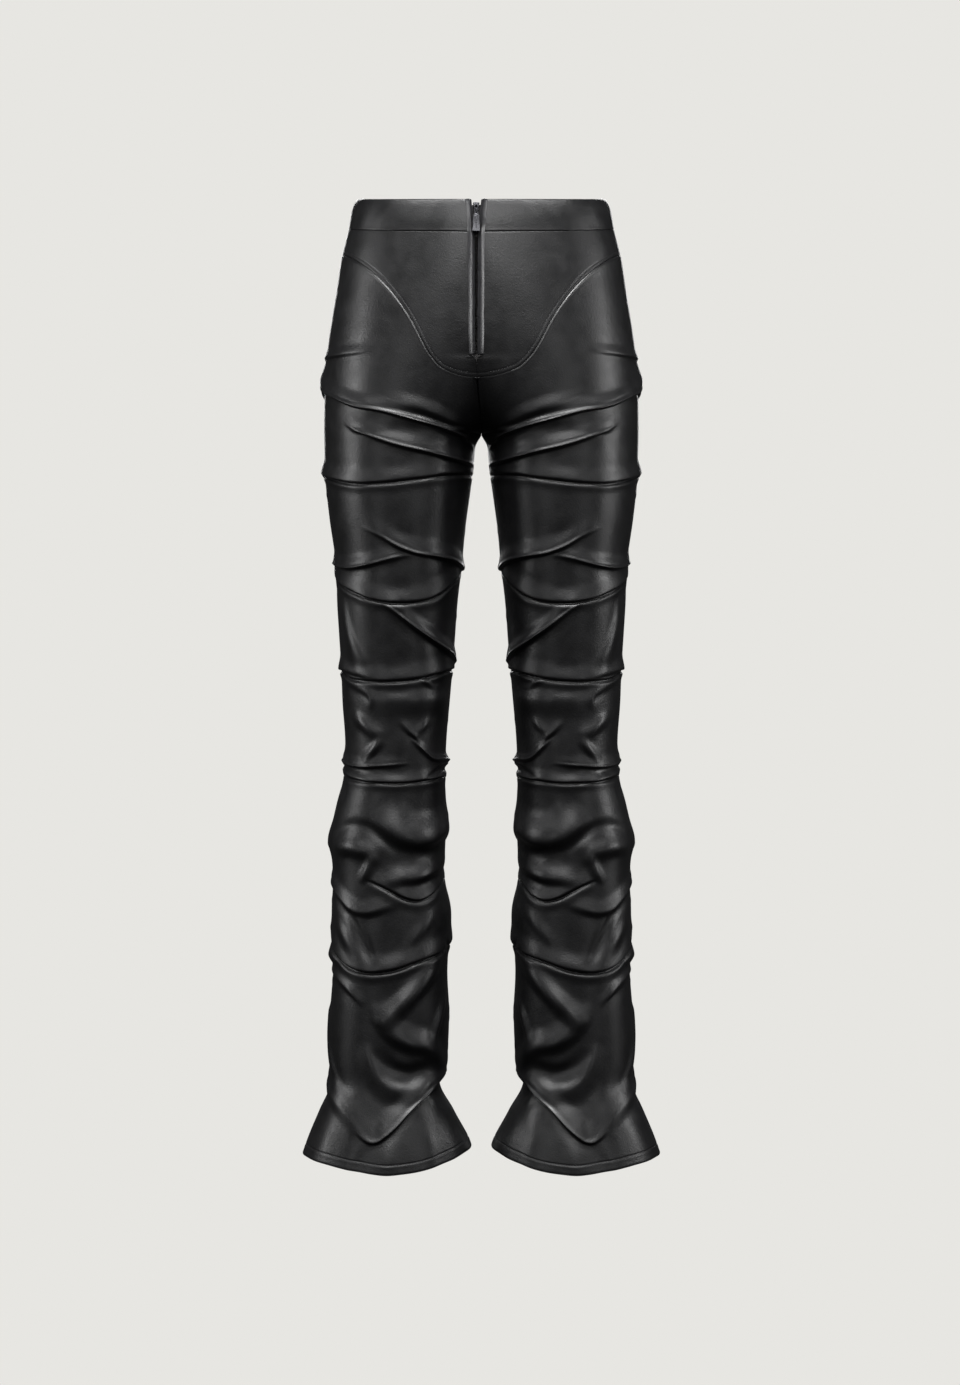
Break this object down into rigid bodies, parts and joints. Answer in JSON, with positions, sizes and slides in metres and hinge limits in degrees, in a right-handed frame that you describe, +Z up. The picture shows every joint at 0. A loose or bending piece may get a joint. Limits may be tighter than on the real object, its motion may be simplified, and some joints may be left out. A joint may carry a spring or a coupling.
{
  "type": "leather trousers",
  "caption": "Long slim leather trousers with a front yoke, an exposed front zip, gathered legs and flared hems, standing hollow and filled out.",
  "frame": {"origin": "centre of the waist opening, on the plane of the waist's top edge at the sides", "axes": "+Z up out of the waist opening, -Y out of the front of the trousers, +X towards the wearer's left leg"},
  "size_m": [0.3886, 0.2245, 1.0551],
  "materials": {
    "leather": "smooth black leather with a satin sheen",
    "zip_tape": "black woven zip tape with its chain",
    "zip_metal": "dark gunmetal plating"
  },
  "bodies": {
    "trousers": {"waistband_right": "leather", "waistband_left": "leather", "front_yoke_right": "leather", "front_yoke_left": "leather", "front_leg_right": "leather", "front_leg_left": "leather", "back_leg_right": "leather", "back_leg_left": "leather", "placket_right": "leather", "placket_left": "leather", "zip_tape_right": "zip_tape", "zip_tape_left": "zip_tape", "slider": "zip_metal"},
    "pull": {"pull_tab": "zip_metal"}
  },
  "joints": [
    {"name": "pull_swing", "type": "hinge", "parent": "trousers", "child": "pull", "pos_m": [-0.0055, -0.09248, -0.016], "axis": [-1, 0, 0], "range_deg": [0, 150]}
  ]
}
